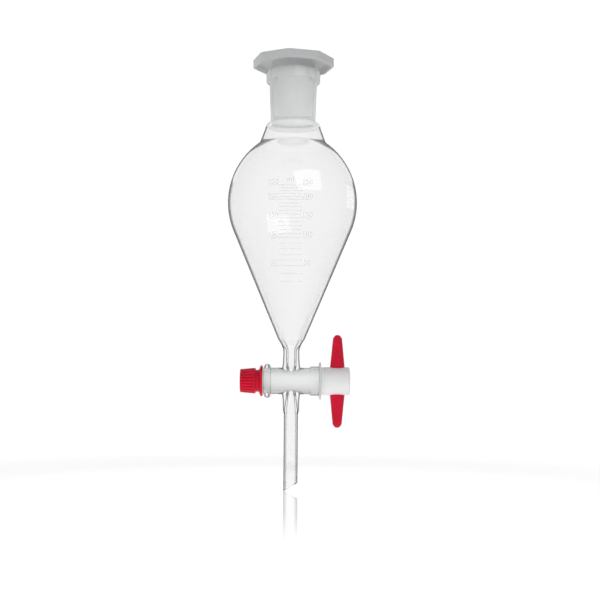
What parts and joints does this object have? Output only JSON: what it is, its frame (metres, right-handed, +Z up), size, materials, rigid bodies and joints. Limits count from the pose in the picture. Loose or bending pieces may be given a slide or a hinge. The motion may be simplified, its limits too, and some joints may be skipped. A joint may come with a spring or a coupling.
{
  "type": "separatory funnel",
  "caption": "Pear-shaped glass separatory funnel with an octagonal taper stopper, a straight-bore stopcock with a lever, and a bevelled drain stem.",
  "frame": {"origin": "on the funnel's vertical axis, at the height where the cone sits in a support ring of about 70 mm bore", "axes": "+Z up towards the stopper, +X towards the stopcock's lever, -Y towards the graduated front"},
  "size_m": [0.0878, 0.0878, 0.2939],
  "materials": {
    "glass": "clear borosilicate glass, fire-polished",
    "ground_glass": "clear glass, finely ground inside the socket",
    "stopper_plastic": "translucent white moulded plastic",
    "fluoropolymer": "machined white fluoropolymer, satin",
    "red_plastic": "moulded red plastic, semi-gloss",
    "enamel": "thin fired enamel print, satin",
    "rubber": "black rubber"
  },
  "bodies": {
    "glass": {"reservoir": "glass", "neck_socket": "ground_glass", "inlet_arm": "glass", "stopcock_barrel": "glass", "drain_stem": "glass"},
    "stopper": {"stopper": "stopper_plastic"},
    "key": {"stopcock_key": "fluoropolymer", "lever_handle": "red_plastic"},
    "seals": {"slip_washer": "fluoropolymer", "o_ring": "rubber"},
    "nut": {"lock_nut": "red_plastic"}
  },
  "joints": [
    {"name": "stopper_lift", "type": "slide", "parent": "glass", "child": "stopper", "axis": [0, 0, 1], "range_m": [0, 0.06]},
    {"name": "key_turn", "type": "hinge", "parent": "glass", "child": "key", "pos_m": [0, 0, -0.09], "axis": [1, 0, 0], "continuous": true},
    {"name": "seal_travel", "type": "slide", "parent": "key", "child": "seals", "axis": [-1, 0, 0], "range_m": [0, 0.0106]},
    {"name": "nut_turn", "type": "hinge", "parent": "seals", "child": "nut", "pos_m": [0, 0, -0.09], "axis": [-1, 0, 0], "range_deg": [0, 2520]}
  ],
  "couplings": [
    {"joint": "seal_travel", "follows": "nut_turn", "m_per_rad": 0.00023873}
  ]
}
